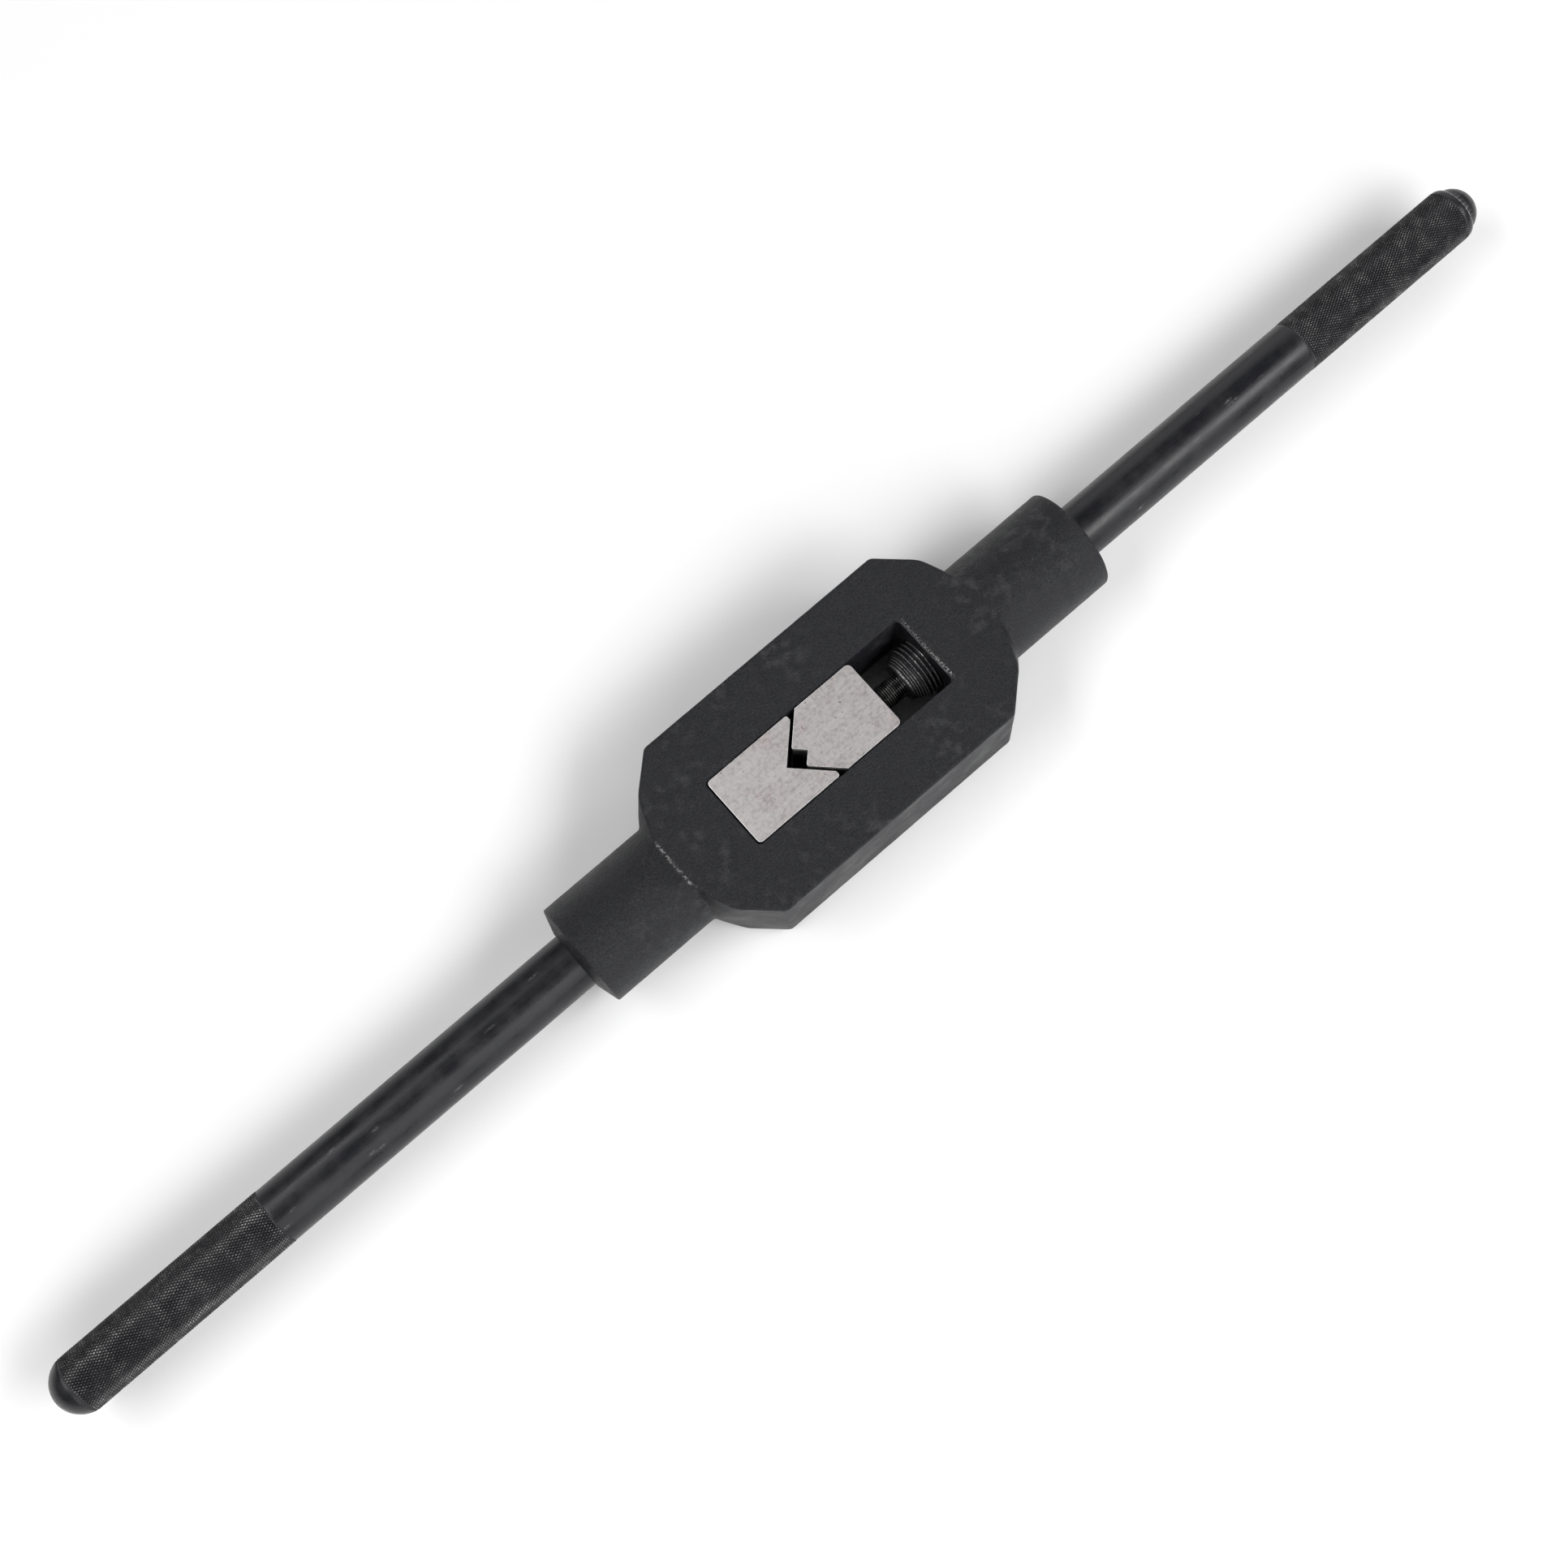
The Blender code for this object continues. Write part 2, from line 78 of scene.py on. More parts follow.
MOVABLE_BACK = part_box("movable_jaw")[1][0] - BODY_X
FLANGE_HALF = size("fixed_jaw").y / 2
PLATE_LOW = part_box("back_plate")[0][2] - AXIS_Z
PLATE_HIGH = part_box("back_plate")[1][2] - AXIS_Z

# ------------------------------------------------------------------ sizes that the boxes don't give

HALF_THICKNESS = 0.0102
DRAFT = 0.0005              # the casting is wider at the back by this much a side
FRONT_HALF_WIDTH = HALF_WIDTH - DRAFT
STRAIGHT_HALF = 0.0296
SHOULDER = 0.0402
CLIP_END = (SHOULDER - 0.0009, BOSS_RADIUS + 0.001)     # where the clipped corner would reach the boss
CONE_SLOPE = 1.85
RAMP_LENGTH = 0.0063
CAST_EDGE = 0.00045         # rounding of the casting's outer edges
CAST_FILLET = 0.0006        # between its shoulders and bosses
BOSS_RIM = 0.06525          # where each boss's side meets its low conical end
BOSS_EDGE = 0.0005          # rounding between the two
WINDOW_HALF = 0.0252
WINDOW_HALF_WIDTH = 0.00825
WINDOW_CORNER = 0.0009
WINDOW_FLARE = 0.00018      # the window's edges open out by this much at the face
WINDOW_FLARE_RIGHT = 0.00075    # and its right edge by this much
CHANNEL_HALF_WIDTH = 0.0092
LIP_Z = -0.0082
SLIDE_GAP = 0.0002
GAP = 0.0003
NOTCH_X = -0.0111
SHOULDER_JAW_X = -0.0021
NOTCH_DEPTH = 0.00226
NOSE_CORNER = 0.00045
MOVABLE_SHARP_NOSE = -0.00782
FIXED_BAR_RADIUS = FIXED_GRIP_RADIUS - 0.00011
ADJUST_BAR_RADIUS = ADJUST_GRIP_RADIUS - 0.00006
FIXED_KNURL = 0.1418
DOME_HEIGHT = 0.0049
GRIP_KNURL = 0.1280
GRIP_KNURL_END = 0.1727
GRIP_RIM = 0.1743
RIM_RADIUS = 0.0052
CAP_RADIUS = 0.00493
CAP_HEIGHT = 0.0035
LEAD_LENGTH = 0.0032
LEAD_RADIUS = 0.0042
LEAD_PITCH = 0.0005
KNURL_DEPTH = 0.00024
KNURL_PERIOD = 0.00107      # of the diamonds, along the bar
KNURL_TEETH = 62            # diamonds round the bar
THREAD_PITCH = 0.0010       # as in the record's coupling; readings in the photo run from 0.77 to 1.0 mm
THREAD_DEPTH = 0.00055
THREAD_LENGTH = 0.0260
STEM_RADIUS = 0.00275
STEM_PITCH = 0.0005
STEM_DEPTH = 0.00030
SCREW_X = 0.0298
SCREW_Y = 0.0078
SCREW_HEAD_RADIUS = 0.0026
PIN_X = -0.0195
PIN_RADIUS = 0.0020

# ------------------------------------------------------------------ mesh helpers


def link(name, mesh):
    made = bpy.data.objects.new(name, mesh)
    bpy.context.scene.collection.objects.link(made)
    return made


def mesh_from(name, verts, faces):
    mesh = bpy.data.meshes.new(name)
    mesh.from_pydata(verts, [], faces)
    mesh.update()
    return link(name, mesh)


def smooth_min(a, b, blend):
    """Smaller of two distances, with the edge between them rounded over the blend length."""
    h = np.clip(0.5 + 0.5 * (b - a) / blend, 0, 1)
    return b * (1 - h) + a * h - blend * h * (1 - h)


def round_corner(distances, radius):
    """Inside all of several surfaces at once, with the corners between them rounded."""
    deepest = distances[0]
    corner = np.maximum(distances[0] + radius, 0) ** 2
    for distance in distances[1:]:
        deepest = np.maximum(deepest, distance)
        corner = corner + np.maximum(distance + radius, 0) ** 2
    return np.minimum(deepest, -radius) + np.sqrt(corner)


def ring_grid(name, x, radius, turns, closed_ends=True):
    """Skin over rings about the X axis; x, radius and turns are arrays of rows by columns."""
    rows, columns = radius.shape
    verts = np.empty((rows * columns, 3))
    verts[:, 0] = x.ravel()
    verts[:, 1] = (radius * np.sin(turns)).ravel()
    verts[:, 2] = (radius * np.cos(turns)).ravel()
    r, c = np.meshgrid(np.arange(rows - 1), np.arange(columns), indexing="ij")
    nxt = (c + 1) % columns
    a, b = r * columns + c, r * columns + nxt
    d, e = (r + 1) * columns + c, (r + 1) * columns + nxt
    low_ad = radius[r, c] + radius[r + 1, nxt] <= radius[r, nxt] + radius[r + 1, c]
    a, b, d, e, low_ad = (v.ravel() for v in (a, b, d, e, low_ad))
    first = np.where(low_ad[:, None], np.stack([a, e, b], 1), np.stack([a, d, b], 1))
    second = np.where(low_ad[:, None], np.stack([a, d, e], 1), np.stack([b, d, e], 1))
    faces = np.concatenate([first, second]).tolist()
    verts = verts.tolist()
    if closed_ends:
        for row in (0, rows - 1):
            verts.append((float(x[row].mean()), 0, 0))
            tip = len(verts) - 1
            for column in range(columns):
                pair = (row * columns + column, row * columns + (column + 1) % columns)
                faces.append((tip, pair[0], pair[1]) if row == 0 else (tip, pair[1], pair[0]))
    return mesh_from(name, verts, faces)


def rounded(outline, radii, count=6):
    """Round the corners of a closed outline; radii holds one radius per point."""
    result = []
    for i, radius in enumerate(radii):
        here = Vector(outline[i])
        if radius == 0:
            result.append(tuple(here))
            continue
        back = (Vector(outline[i - 1]) - here).normalized()
        ahead = (Vector(outline[(i + 1) % len(outline)]) - here).normalized()
        half = back.angle(ahead) / 2
        middle = here + (back + ahead).normalized() * radius / sin(half)
        first = here + back * radius / tan(half) - middle
        last = here + ahead * radius / tan(half) - middle
        sweep = first.angle_signed(last)
        for step in range(count + 1):
            result.append(tuple(middle + Matrix.Rotation(-sweep * step / count, 2) @ first))
    return result


def rectangle(half_length, half_width):
    return [(-half_length, -half_width), (half_length, -half_width),
            (half_length, half_width), (-half_length, half_width)]


def stack(name, levels):
    """Solid through (outline, height) levels, whose outlines have the same number of points."""
    count = len(levels[0][0])
    verts = [(x, y, z) for outline, z in levels for x, y in outline]
    faces = [tuple(range(count - 1, -1, -1)), tuple(range(len(verts) - count, len(verts)))]
    for first in range(0, len(verts) - count, count):
        for i in range(count):
            j = (i + 1) % count
            faces.append((first + i, first + j, first + j + count, first + i + count))
    return mesh_from(name, verts, faces)


def prism(name, outline, low, high):
    """Closed flat outline in XY made solid from low to high."""
    return stack(name, [(outline, low), (outline, high)])


def turned(name, profile, columns):
    """Closed solid of revolution about X through (x, radius) points in order."""
    x = np.array([p[0] for p in profile])[:, None] * np.ones(columns)
    radius = np.array([p[1] for p in profile])[:, None] * np.ones(columns)
    turns = np.linspace(0, 2 * pi, columns, endpoint=False)[None, :] * np.ones((len(profile), 1))
    return ring_grid(name, x, radius, turns)


def apply_modifiers(piece):
    bpy.context.view_layer.update()
    shape = piece.evaluated_get(bpy.context.evaluated_depsgraph_get())
    mesh = bpy.data.meshes.new_from_object(shape)
    old = piece.data
    piece.modifiers.clear()
    piece.data = mesh
    bpy.data.meshes.remove(old)
    return piece


def carve(piece, tool, operation="DIFFERENCE", solver="MANIFOLD"):
    """Cut or join with a tool, which is used up."""
    change = piece.modifiers.new("carve", "BOOLEAN")
    change.operation = operation
    change.object = tool
    change.solver = solver
    apply_modifiers(piece)
    bpy.data.objects.remove(tool, do_unlink=True)
    return piece


def soften(piece, width, segments=2, angle=25):
    bevel = piece.modifiers.new("edges", "BEVEL")
    bevel.width = width
    bevel.segments = segments
    bevel.limit_method = "ANGLE"
    bevel.angle_limit = radians(angle)
    bevel.harden_normals = False
    return apply_modifiers(piece)


def shade(piece, angle=30):
    piece.data.shade_smooth()
    piece.data.set_sharp_from_angle(angle=radians(angle))
    return piece


def settle(piece, body, look, slot, *nodes):
    """Put a piece made round the bars' axis in its place, on its body and with its material."""
    piece.data.transform(Matrix.Translation(ORIGIN))
    piece.data.materials.clear()
    piece.data.materials.append(look)
    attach(piece, body)
    if nodes:
        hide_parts(*nodes)
    return piece


def paint(piece, name, values):
    """Store one number per vertex for the materials to read."""
    layer = piece.data.attributes.new(name, "FLOAT", "POINT")
    layer.data.foreach_set("value", np.asarray(values, np.float32))


def places(piece):
    co = np.empty(len(piece.data.vertices) * 3, np.float32)
    piece.data.vertices.foreach_get("co", co)
    return co.reshape(-1, 3).astype(float)


def waves(co, seed, wavelength, count=24):
    """Smooth random field over points: a sum of plane waves in seeded directions."""
    rng = np.random.default_rng(seed)
    total = np.zeros(len(co))
    for _ in range(count):
        direction = rng.normal(size=3)
        direction /= np.linalg.norm(direction)
        turns = co @ direction * (2 * pi / (wavelength * rng.uniform(0.7, 1.4)))
        total += np.sin(turns + rng.uniform(0, 2 * pi))
    return total / sqrt(count)


# ------------------------------------------------------------------ material helpers


class Look:
    """A Principled material and short calls that add and join its nodes."""

    def __init__(self, name):
        self.material = bpy.data.materials.new(name)
        self.material.use_nodes = True
        self.tree = self.material.node_tree
        self.shader = self.tree.nodes["Principled BSDF"]
        self.spot = self.add("ShaderNodeTexCoord").outputs["Object"]

    def add(self, kind, **settings):
        node = self.tree.nodes.new(kind)
        for key, value in settings.items():
            setattr(node, key, value)
        return node

    def feed(self, node, **inputs):
        """Set inputs by name: a number or colour directly, a socket by a link."""
        for key, value in inputs.items():
            socket = node.inputs[key.replace("_", " ")]
            if isinstance(value, bpy.types.NodeSocket):
                self.tree.links.new(value, socket)
            else:
                socket.default_value = value
        return node

    def stretched(self, scale):
        node = self.add("ShaderNodeMapping")
        self.feed(node, Vector=self.spot, Scale=scale)
        return node.outputs["Vector"]

    def noise(self, scale, detail=3.0, rough=0.5, vector=None, distortion=0.0):
        node = self.add("ShaderNodeTexNoise")
        self.feed(node, Vector=vector or self.spot, Scale=scale, Detail=detail, Roughness=rough,
                  Distortion=distortion)
        return node.outputs["Fac"]

    def ramp(self, value, low, high, out_low=0.0, out_high=1.0, smooth=True):
        node = self.add("ShaderNodeMapRange")
        node.interpolation_type = "SMOOTHSTEP" if smooth else "LINEAR"
        self.feed(node, Value=value, From_Min=low, From_Max=high, To_Min=out_low, To_Max=out_high)
        return node.outputs["Result"]

    def sum(self, first, second, operation="ADD", clamp=False):
        node = self.add("ShaderNodeMath", operation=operation, use_clamp=clamp)
        for socket, value in zip(node.inputs, (first, second)):
            if isinstance(value, bpy.types.NodeSocket):
                self.tree.links.new(value, socket)
            else:
                socket.default_value = value
        return node.outputs["Value"]

    def mix(self, factor, first, second):
        node = self.add("ShaderNodeMix", data_type="RGBA")
        for index, value in ((0, factor), (6, first), (7, second)):
            socket = node.inputs[index]
            if isinstance(value, bpy.types.NodeSocket):
                self.tree.links.new(value, socket)
            else:
                socket.default_value = (*value, 1) if index else value
        return node.outputs[2]

    def stored(self, name):
        return self.add("ShaderNodeAttribute", attribute_name=name).outputs["Fac"]

    def bump(self, height, distance, strength=1.0, normal=None):
        node = self.add("ShaderNodeBump")
        self.feed(node, Height=height, Distance=distance, Strength=strength)
        if normal:
            self.feed(node, Normal=normal)
        return node.outputs["Normal"]

    def finish(self, colour, roughness, metallic, normal, **constants):
        self.feed(self.shader, Base_Color=colour, Roughness=roughness, Metallic=metallic, Normal=normal)
        for key, value in constants.items():
            self.shader.inputs[key.replace("_", " ")].default_value = value
        return self.material


def cast_black():
    """Blackened casting: fine sandy grain, dusty smudges, bare specks, worn edges, and a bright streak at the
    left face's crease that is partly dust and partly a painted glint.
    """
    look = Look("cast_black")
    broad = look.noise(70, 4, 0.6)
    cloud = look.noise(420, 4, 0.6)
    grain = look.noise(2600, 3, 0.6)
    tiny = look.noise(7000, 2, 0.5)
    dust = look.sum(look.ramp(broad, 0.44, 0.64), look.ramp(cloud, 0.44, 0.70), "MULTIPLY")
    base = look.mix(look.ramp(grain, 0.35, 0.65), (0.0018, 0.0020, 0.0034), (0.0120, 0.0124, 0.0155))
    base = look.mix(look.sum(dust, 0.75, "MULTIPLY"), base, (0.040, 0.040, 0.043))
    speck = look.sum(look.ramp(tiny, 0.68, 0.74), look.ramp(cloud, 0.46, 0.60), "MULTIPLY")
    wear = look.sum(look.stored("wear"), look.ramp(grain, 0.42, 0.60, 0.0, 1.3), "MULTIPLY")
    bare = look.sum(wear, look.sum(speck, 0.5, "MULTIPLY"), "ADD", clamp=True)
    colour = look.mix(bare, base, (0.46, 0.45, 0.44))
    rough = look.ramp(broad, 0.38, 0.62, 0.36, 0.52)
    rough = look.sum(rough, look.sum(bare, 0.18, "MULTIPLY"), "SUBTRACT")
    metallic = look.sum(bare, 0.8, "MULTIPLY")
    fine = look.bump(tiny, 0.00008, 0.9)
    normal = look.bump(grain, 0.00026, 1.0, fine)
    return look.finish(colour, rough, metallic, normal, Specular_IOR_Level=0.30)


def bar_black():
    """Satin black oxide on drawn bar: lengthwise draw lines, faint patches and small bare dings."""
    look = Look("bar_black")
    drawn = look.noise(1500, 3, 0.6, look.stretched((0.03, 1, 1)))
    cloud = look.noise(150, 4, 0.65)
    grain = look.noise(3200, 3, 0.5)
    tiny = look.noise(6000, 2, 0.5)
    base = look.mix(look.ramp(cloud, 0.35, 0.7), (0.0085, 0.0088, 0.0108), (0.0165, 0.0165, 0.0190))
    wear = look.sum(look.stored("wear"), look.ramp(grain, 0.38, 0.62, 0.1, 1.3), "MULTIPLY")
    speck = look.sum(look.ramp(tiny, 0.71, 0.77, 0.0, 0.35), look.ramp(cloud, 0.5, 0.65), "MULTIPLY")
    wear = look.sum(wear, speck, "ADD", clamp=True)
    colour = look.mix(wear, base, (0.42, 0.41, 0.40))
    rough = look.ramp(cloud, 0.35, 0.7, 0.27, 0.40)
    rough = look.sum(rough, look.ramp(drawn, 0.3, 0.7, -0.04, 0.05), "ADD")
    metallic = look.sum(wear, 0.85, "MULTIPLY")
    lines = look.bump(drawn, 0.00002, 0.5)
    normal = look.bump(grain, 0.00002, 0.6, lines)
    return look.finish(colour, rough, metallic, normal, Specular_IOR_Level=0.30)


def ground_steel():
    """Surface-ground bare steel: mottled fine grinding, faint warm stains, pits, a painted highlight round
    the top face's rim, oily flanks.
    """
    look = Look("ground_steel")
    fine = look.noise(2600, 2, 0.6, look.stretched((0.06, 1, 1)))
    coarse = look.noise(500, 3, 0.6, look.stretched((0.15, 1, 1)))
    mottle = look.noise(1400, 3, 0.6)
    stain = look.noise(160, 4, 0.65)
    pit = look.noise(1100, 2, 0.5)
    base = look.mix(look.ramp(coarse, 0.3, 0.7), (0.72, 0.685, 0.685), (0.82, 0.785, 0.785))
    base = look.mix(look.ramp(fine, 0.35, 0.65, 0.0, 0.50), base, (0.94, 0.91, 0.905))
    base = look.mix(look.ramp(mottle, 0.38, 0.68, 0.0, 0.50), base, (0.50, 0.465, 0.465))
    base = look.mix(look.ramp(stain, 0.46, 0.70, 0.0, 0.45), base, (0.60, 0.51, 0.49))
    base = look.mix(look.ramp(pit, 0.70, 0.76, 0.0, 0.75), base, (0.12, 0.10, 0.09))
    # Painted highlight: a narrow rim round the top face is coloured near white, as if its edge caught the
    # light.
    base = look.mix(look.sum(look.stored("rim"), 0.7, "MULTIPLY"), base, (0.95, 0.94, 0.93))
    height = look.add("ShaderNodeSeparateXYZ")
    look.feed(height, Vector=look.spot)
    top = AXIS_Z + JAW_TOP
    oily = look.ramp(height.outputs["Z"], top - 0.0016, top - 0.0004, 0.86, 0.0)
    base = look.mix(oily, base, (0.13, 0.127, 0.13))
    rough = look.ramp(mottle, 0.3, 0.7, 0.38, 0.50)
    normal = look.bump(fine, 0.000010, 0.5, look.bump(pit, 0.00004, 0.3))
    return look.finish(base, rough, 1.0, normal)


def dark_steel(name="dark_steel", low=(0.022, 0.022, 0.025), high=(0.06, 0.06, 0.064), shine=0.16):
    """Oiled dark steel of the screws, also used for the plate with lighter colours passed in: worn bright on
    the crests.
    """
    look = Look(name)
    cloud = look.noise(600, 3, 0.6)
    base = look.mix(look.ramp(cloud, 0.35, 0.7), low, high)
    wear = look.sum(look.stored("wear"), look.ramp(cloud, 0.35, 0.6, 0.3, 1.1), "MULTIPLY", clamp=True)
    colour = look.mix(wear, base, (0.50, 0.49, 0.47))
    rough = look.ramp(cloud, 0.3, 0.7, shine, shine + 0.18)
    normal = look.bump(look.noise(2500, 2), 0.00003, 0.5)
    return look.finish(colour, rough, 0.85, normal)


def plate_grey():
    """Dull pressed sheet of the back plate, its grey raised well above the sheet's own dark tone as painted
    light for the shaded floor seen through the window.
    """
    return dark_steel("plate_grey", (0.44, 0.44, 0.45), (0.58, 0.58, 0.59), 0.45)


# ------------------------------------------------------------------ the casting


def casting_distance(along, across, up):
    """Rough signed distance from the casting's skin at distances along, across and above its centre."""
    wide = FRONT_HALF_WIDTH + DRAFT * (HALF_THICKNESS - up) / (2 * HALF_THICKNESS)
    run, drop = CLIP_END[0] - STRAIGHT_HALF, FRONT_HALF_WIDTH - CLIP_END[1]
    radius = np.hypot(across, up)
    side = across - wide
    clipped = ((along - STRAIGHT_HALF) * drop + (across - wide) * run) / hypot(run, drop)
    cone = (radius - BOSS_RADIUS - (SHOULDER - along) * CONE_SLOPE) / hypot(1, CONE_SLOPE)
    skin = smooth_min(round_corner([side, clipped, cone], CAST_EDGE), radius - BOSS_RADIUS, CAST_FILLET)
    return round_corner([skin, np.abs(up) - face_height(along)], CAST_EDGE)


def face_height(along):
    """Flat faces that ramp up onto the crests of the bosses."""
    lift = np.clip((along - SHOULDER) / RAMP_LENGTH, 0, 1)
    return HALF_THICKNESS + (BOSS_RADIUS + CAST_EDGE - HALF_THICKNESS) * lift


def casting_radius(x, turns):
    """Distance from the axis to the skin at a place along it and an angle from +Z, by bisection."""
    low, high = np.full_like(turns, 0.003), np.full_like(turns, 0.030)
    for _ in range(26):
        middle = (low + high) / 2
        out = casting_distance(np.abs(x), np.abs(middle * np.sin(turns)), middle * np.cos(turns)) > 0
        high = np.where(out, middle, high)
        low = np.where(out, low, middle)
    return low


def quarter_turns(rows, widen, face_count, side_count):
    """Angles of one quarter of each ring, crowded round the edge between its face and its side."""
    along = np.abs(rows)[:, None]
    height = face_height(along)
    run, drop = CLIP_END[0] - STRAIGHT_HALF, FRONT_HALF_WIDTH - CLIP_END[1]
    clipped = FRONT_HALF_WIDTH + widen - (along - STRAIGHT_HALF) * drop / run
    cone = BOSS_RADIUS + np.maximum(SHOULDER - along, 0) * CONE_SLOPE
    round_half = np.sqrt(np.maximum(cone ** 2 - height ** 2, 0))
    half = np.minimum(np.minimum(FRONT_HALF_WIDTH + widen, clipped), round_half)
    half = np.where(along > SHOULDER, round_half, half)
    half = np.maximum(half, height * tan(radians(10)))
    corner = np.arctan2(half, height)
    blend = np.clip((along - STRAIGHT_HALF) / (SHOULDER - STRAIGHT_HALF), 0, 1)

    u = np.arange(face_count) / face_count
    near = 1 - (1 - u) * (0.3 + 0.7 * (1 - u))
    face = (1 - blend) * np.arctan2(half * near, height) + blend * corner * near
    u = np.arange(side_count + 1) / side_count
    near = u * (0.3 + 0.7 * u)
    side = (1 - blend) * np.arctan2(half, height * (1 - near)) + blend * (corner + (pi / 2 - corner) * near)
    return np.concatenate([face, side], axis=1)


def casting_rows(outer):
    """Ring places, closer together at the clipped corners and the shoulders."""
    fine = np.linspace(-outer, outer, 8001)
    reach = np.abs(fine)
    near = np.exp(-((reach - STRAIGHT_HALF) / 0.0009) ** 2)
    near += np.exp(-((reach - SHOULDER + 0.0008) / 0.0024) ** 2)
    spacing = 0.00056 - 0.00032 * near
    travelled = np.concatenate([[0], np.cumsum(np.diff(fine) / spacing[1:])])
    count = int(travelled[-1] / (1))
    return np.interp(np.linspace(0, travelled[-1], count), travelled, fine)


def window_outline(extra, extra_right):
    low, high = WINDOW_HALF + extra, WINDOW_HALF + extra_right
    half = WINDOW_HALF_WIDTH + extra
    corners = [(-low, -half), (high, -half), (high, half), (-low, half)]
    return rounded(corners, [WINDOW_CORNER + extra] * 4)


def make_casting(look):
    outer = BOSS_RIM - BOSS_EDGE
    rows = casting_rows(outer)
    counts = ((40, 22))
    front, back = (quarter_turns(rows, widen, *counts) for widen in (0, DRAFT))
    turns = np.concatenate([front[:, :-1], (pi - back)[:, :0:-1], (pi + back)[:, :-1],
                            (2 * pi - front)[:, :0:-1]], axis=1)
    x = rows[:, None] * np.ones(turns.shape[1])
    radius = casting_radius(x, turns)
    bend = np.radians(np.array([25, 50, 72]))
    mouth = FIXED_BAR_RADIUS + 2 * GAP
    for sign in (-1, 1):
        end = 0 if sign < 0 else -1
        reach = np.concatenate([outer + BOSS_EDGE * np.sin(bend), [(BOSS_RIM + BOSS_END) / 2, BOSS_END]])
        end_x = sign * reach[:, None] * np.ones(turns.shape[1])
        rounding = radius[end][None, :] - BOSS_EDGE * (1 - np.cos(bend))[:, None]
        crown = rounding[-1] + (mouth - rounding[-1]) * np.array([[0.5], [1.0]])
        end_radius = np.concatenate([rounding, crown])
        end_turns = turns[end][None, :] * np.ones((len(reach), 1))
        if sign < 0:
            pairs = ((end_x[::-1], x), (end_radius[::-1], radius), (end_turns, turns))
        else:
            pairs = ((x, end_x), (radius, end_radius), (turns, end_turns))
        x, radius, turns = (np.concatenate(pair) for pair in pairs)
    body = ring_grid("casting", x, radius, turns)

    co = places(body)
    out = co.copy()
    out[:, 0] *= 0.15
    out /= np.linalg.norm(out, axis=1)[:, None] + 1e-9
    grain = 0.6 * waves(co, 3, 0.0012, 40) + 0.8 * waves(co, 4, 0.0045, 30)
    co -= out * (np.clip(grain, -1.5, 1.5) + 1.5)[:, None] * 0.000014
    body.data.vertices.foreach_set("co", co.astype(np.float32).ravel())

    reach = HALF_THICKNESS + 0.004
    straight, flared = window_outline(0, 0), window_outline(WINDOW_FLARE, WINDOW_FLARE_RIGHT)
    brow = HALF_THICKNESS - 0.0003
    carve(body, stack("t", [(straight, -reach), (straight, brow), (flared, HALF_THICKNESS), (flared, reach)]))
    channel = rounded(rectangle(WINDOW_HALF, CHANNEL_HALF_WIDTH), [WINDOW_CORNER] * 4)
    carve(body, prism("t", channel, -reach, LIP_Z))
    outside = BOSS_END + 0.002
    relief = 0.0004
    bore = FIXED_BAR_RADIUS + GAP / 2
    profile = [(-outside, bore + relief), (-BOSS_END, bore + relief), (-BOSS_END + relief, bore),
               (-BAR_ROOT + 2 * GAP, bore)]
    carve(body, turned("t", profile, 96))
    bore = ADJUST_BAR_RADIUS + GAP / 2
    profile = [(WINDOW_HALF - 0.001, bore), (BOSS_END - relief, bore), (BOSS_END, bore + relief),
               (outside, bore + relief)]
    carve(body, turned("t", profile, 96))
    shade(body, 32)
    paint_casting(body)
    return settle(body, "frame", look, "cast_black", "body")


def paint_casting(body):
    """Bare metal where the coating has worn along the window's right edge, and a bright streak at the left
    face's crease, partly dust specks and partly a painted glint.
    """
    co = places(body)
    x, y, z = co.T
    near_face = np.clip(1 - np.abs(z - HALF_THICKNESS) / 0.0009, 0, 1)
    # Painted glint with dust: a bright metallic streak along the concave crease where the left face starts to
    # ramp.
    crease_dust_and_glint = np.exp(-((x + SHOULDER) / 0.00022) ** 2) * (np.abs(y) < 0.0056) * near_face
    sill = np.exp(-((x - WINDOW_HALF - WINDOW_FLARE_RIGHT) / 0.00014) ** 2)
    sill *= (np.abs(y) < WINDOW_HALF_WIDTH) * near_face
    sill *= np.clip(0.35 + 1.1 * np.exp(-((y + 0.0050) / 0.0022) ** 2), 0, 1)
    patchy = np.clip(0.55 + 0.5 * waves(co, 11, 0.0009), 0, 1)
    paint(body, "wear", np.clip(0.75 * crease_dust_and_glint * patchy + 1.0 * sill * patchy, 0, 1))


# ------------------------------------------------------------------ jaws


def fixed_outline(half_width):
    flank = FIXED_JAW_TIP - NOTCH_X
    outline = [(FIXED_JAW_BACK, -half_width), (FIXED_JAW_TIP, -half_width), (FIXED_JAW_TIP, -flank),
               (NOTCH_X, 0), (FIXED_JAW_TIP, flank), (FIXED_JAW_TIP, half_width),
               (FIXED_JAW_BACK, half_width)]
    return rounded(outline, [0.0009, 0.0005, 0.0004, 0, 0.0004, 0.0005, 0.0009])


def movable_outline(half_width):
    shoulder_y = SHOULDER_JAW_X - MOVABLE_SHARP_NOSE + NOTCH_DEPTH
    upper = [(MOVABLE_BACK, half_width), (SHOULDER_JAW_X, half_width), (SHOULDER_JAW_X, shoulder_y),
             (MOVABLE_SHARP_NOSE, NOTCH_DEPTH)]
    notch = [(MOVABLE_SHARP_NOSE + NOTCH_DEPTH, 0)]
    outline = upper + notch + [(x, -y) for x, y in reversed(upper)]
    return rounded(outline, [0.0011, 0, 0, NOSE_CORNER, 0, NOSE_CORNER, 0, 0, 0.0011])


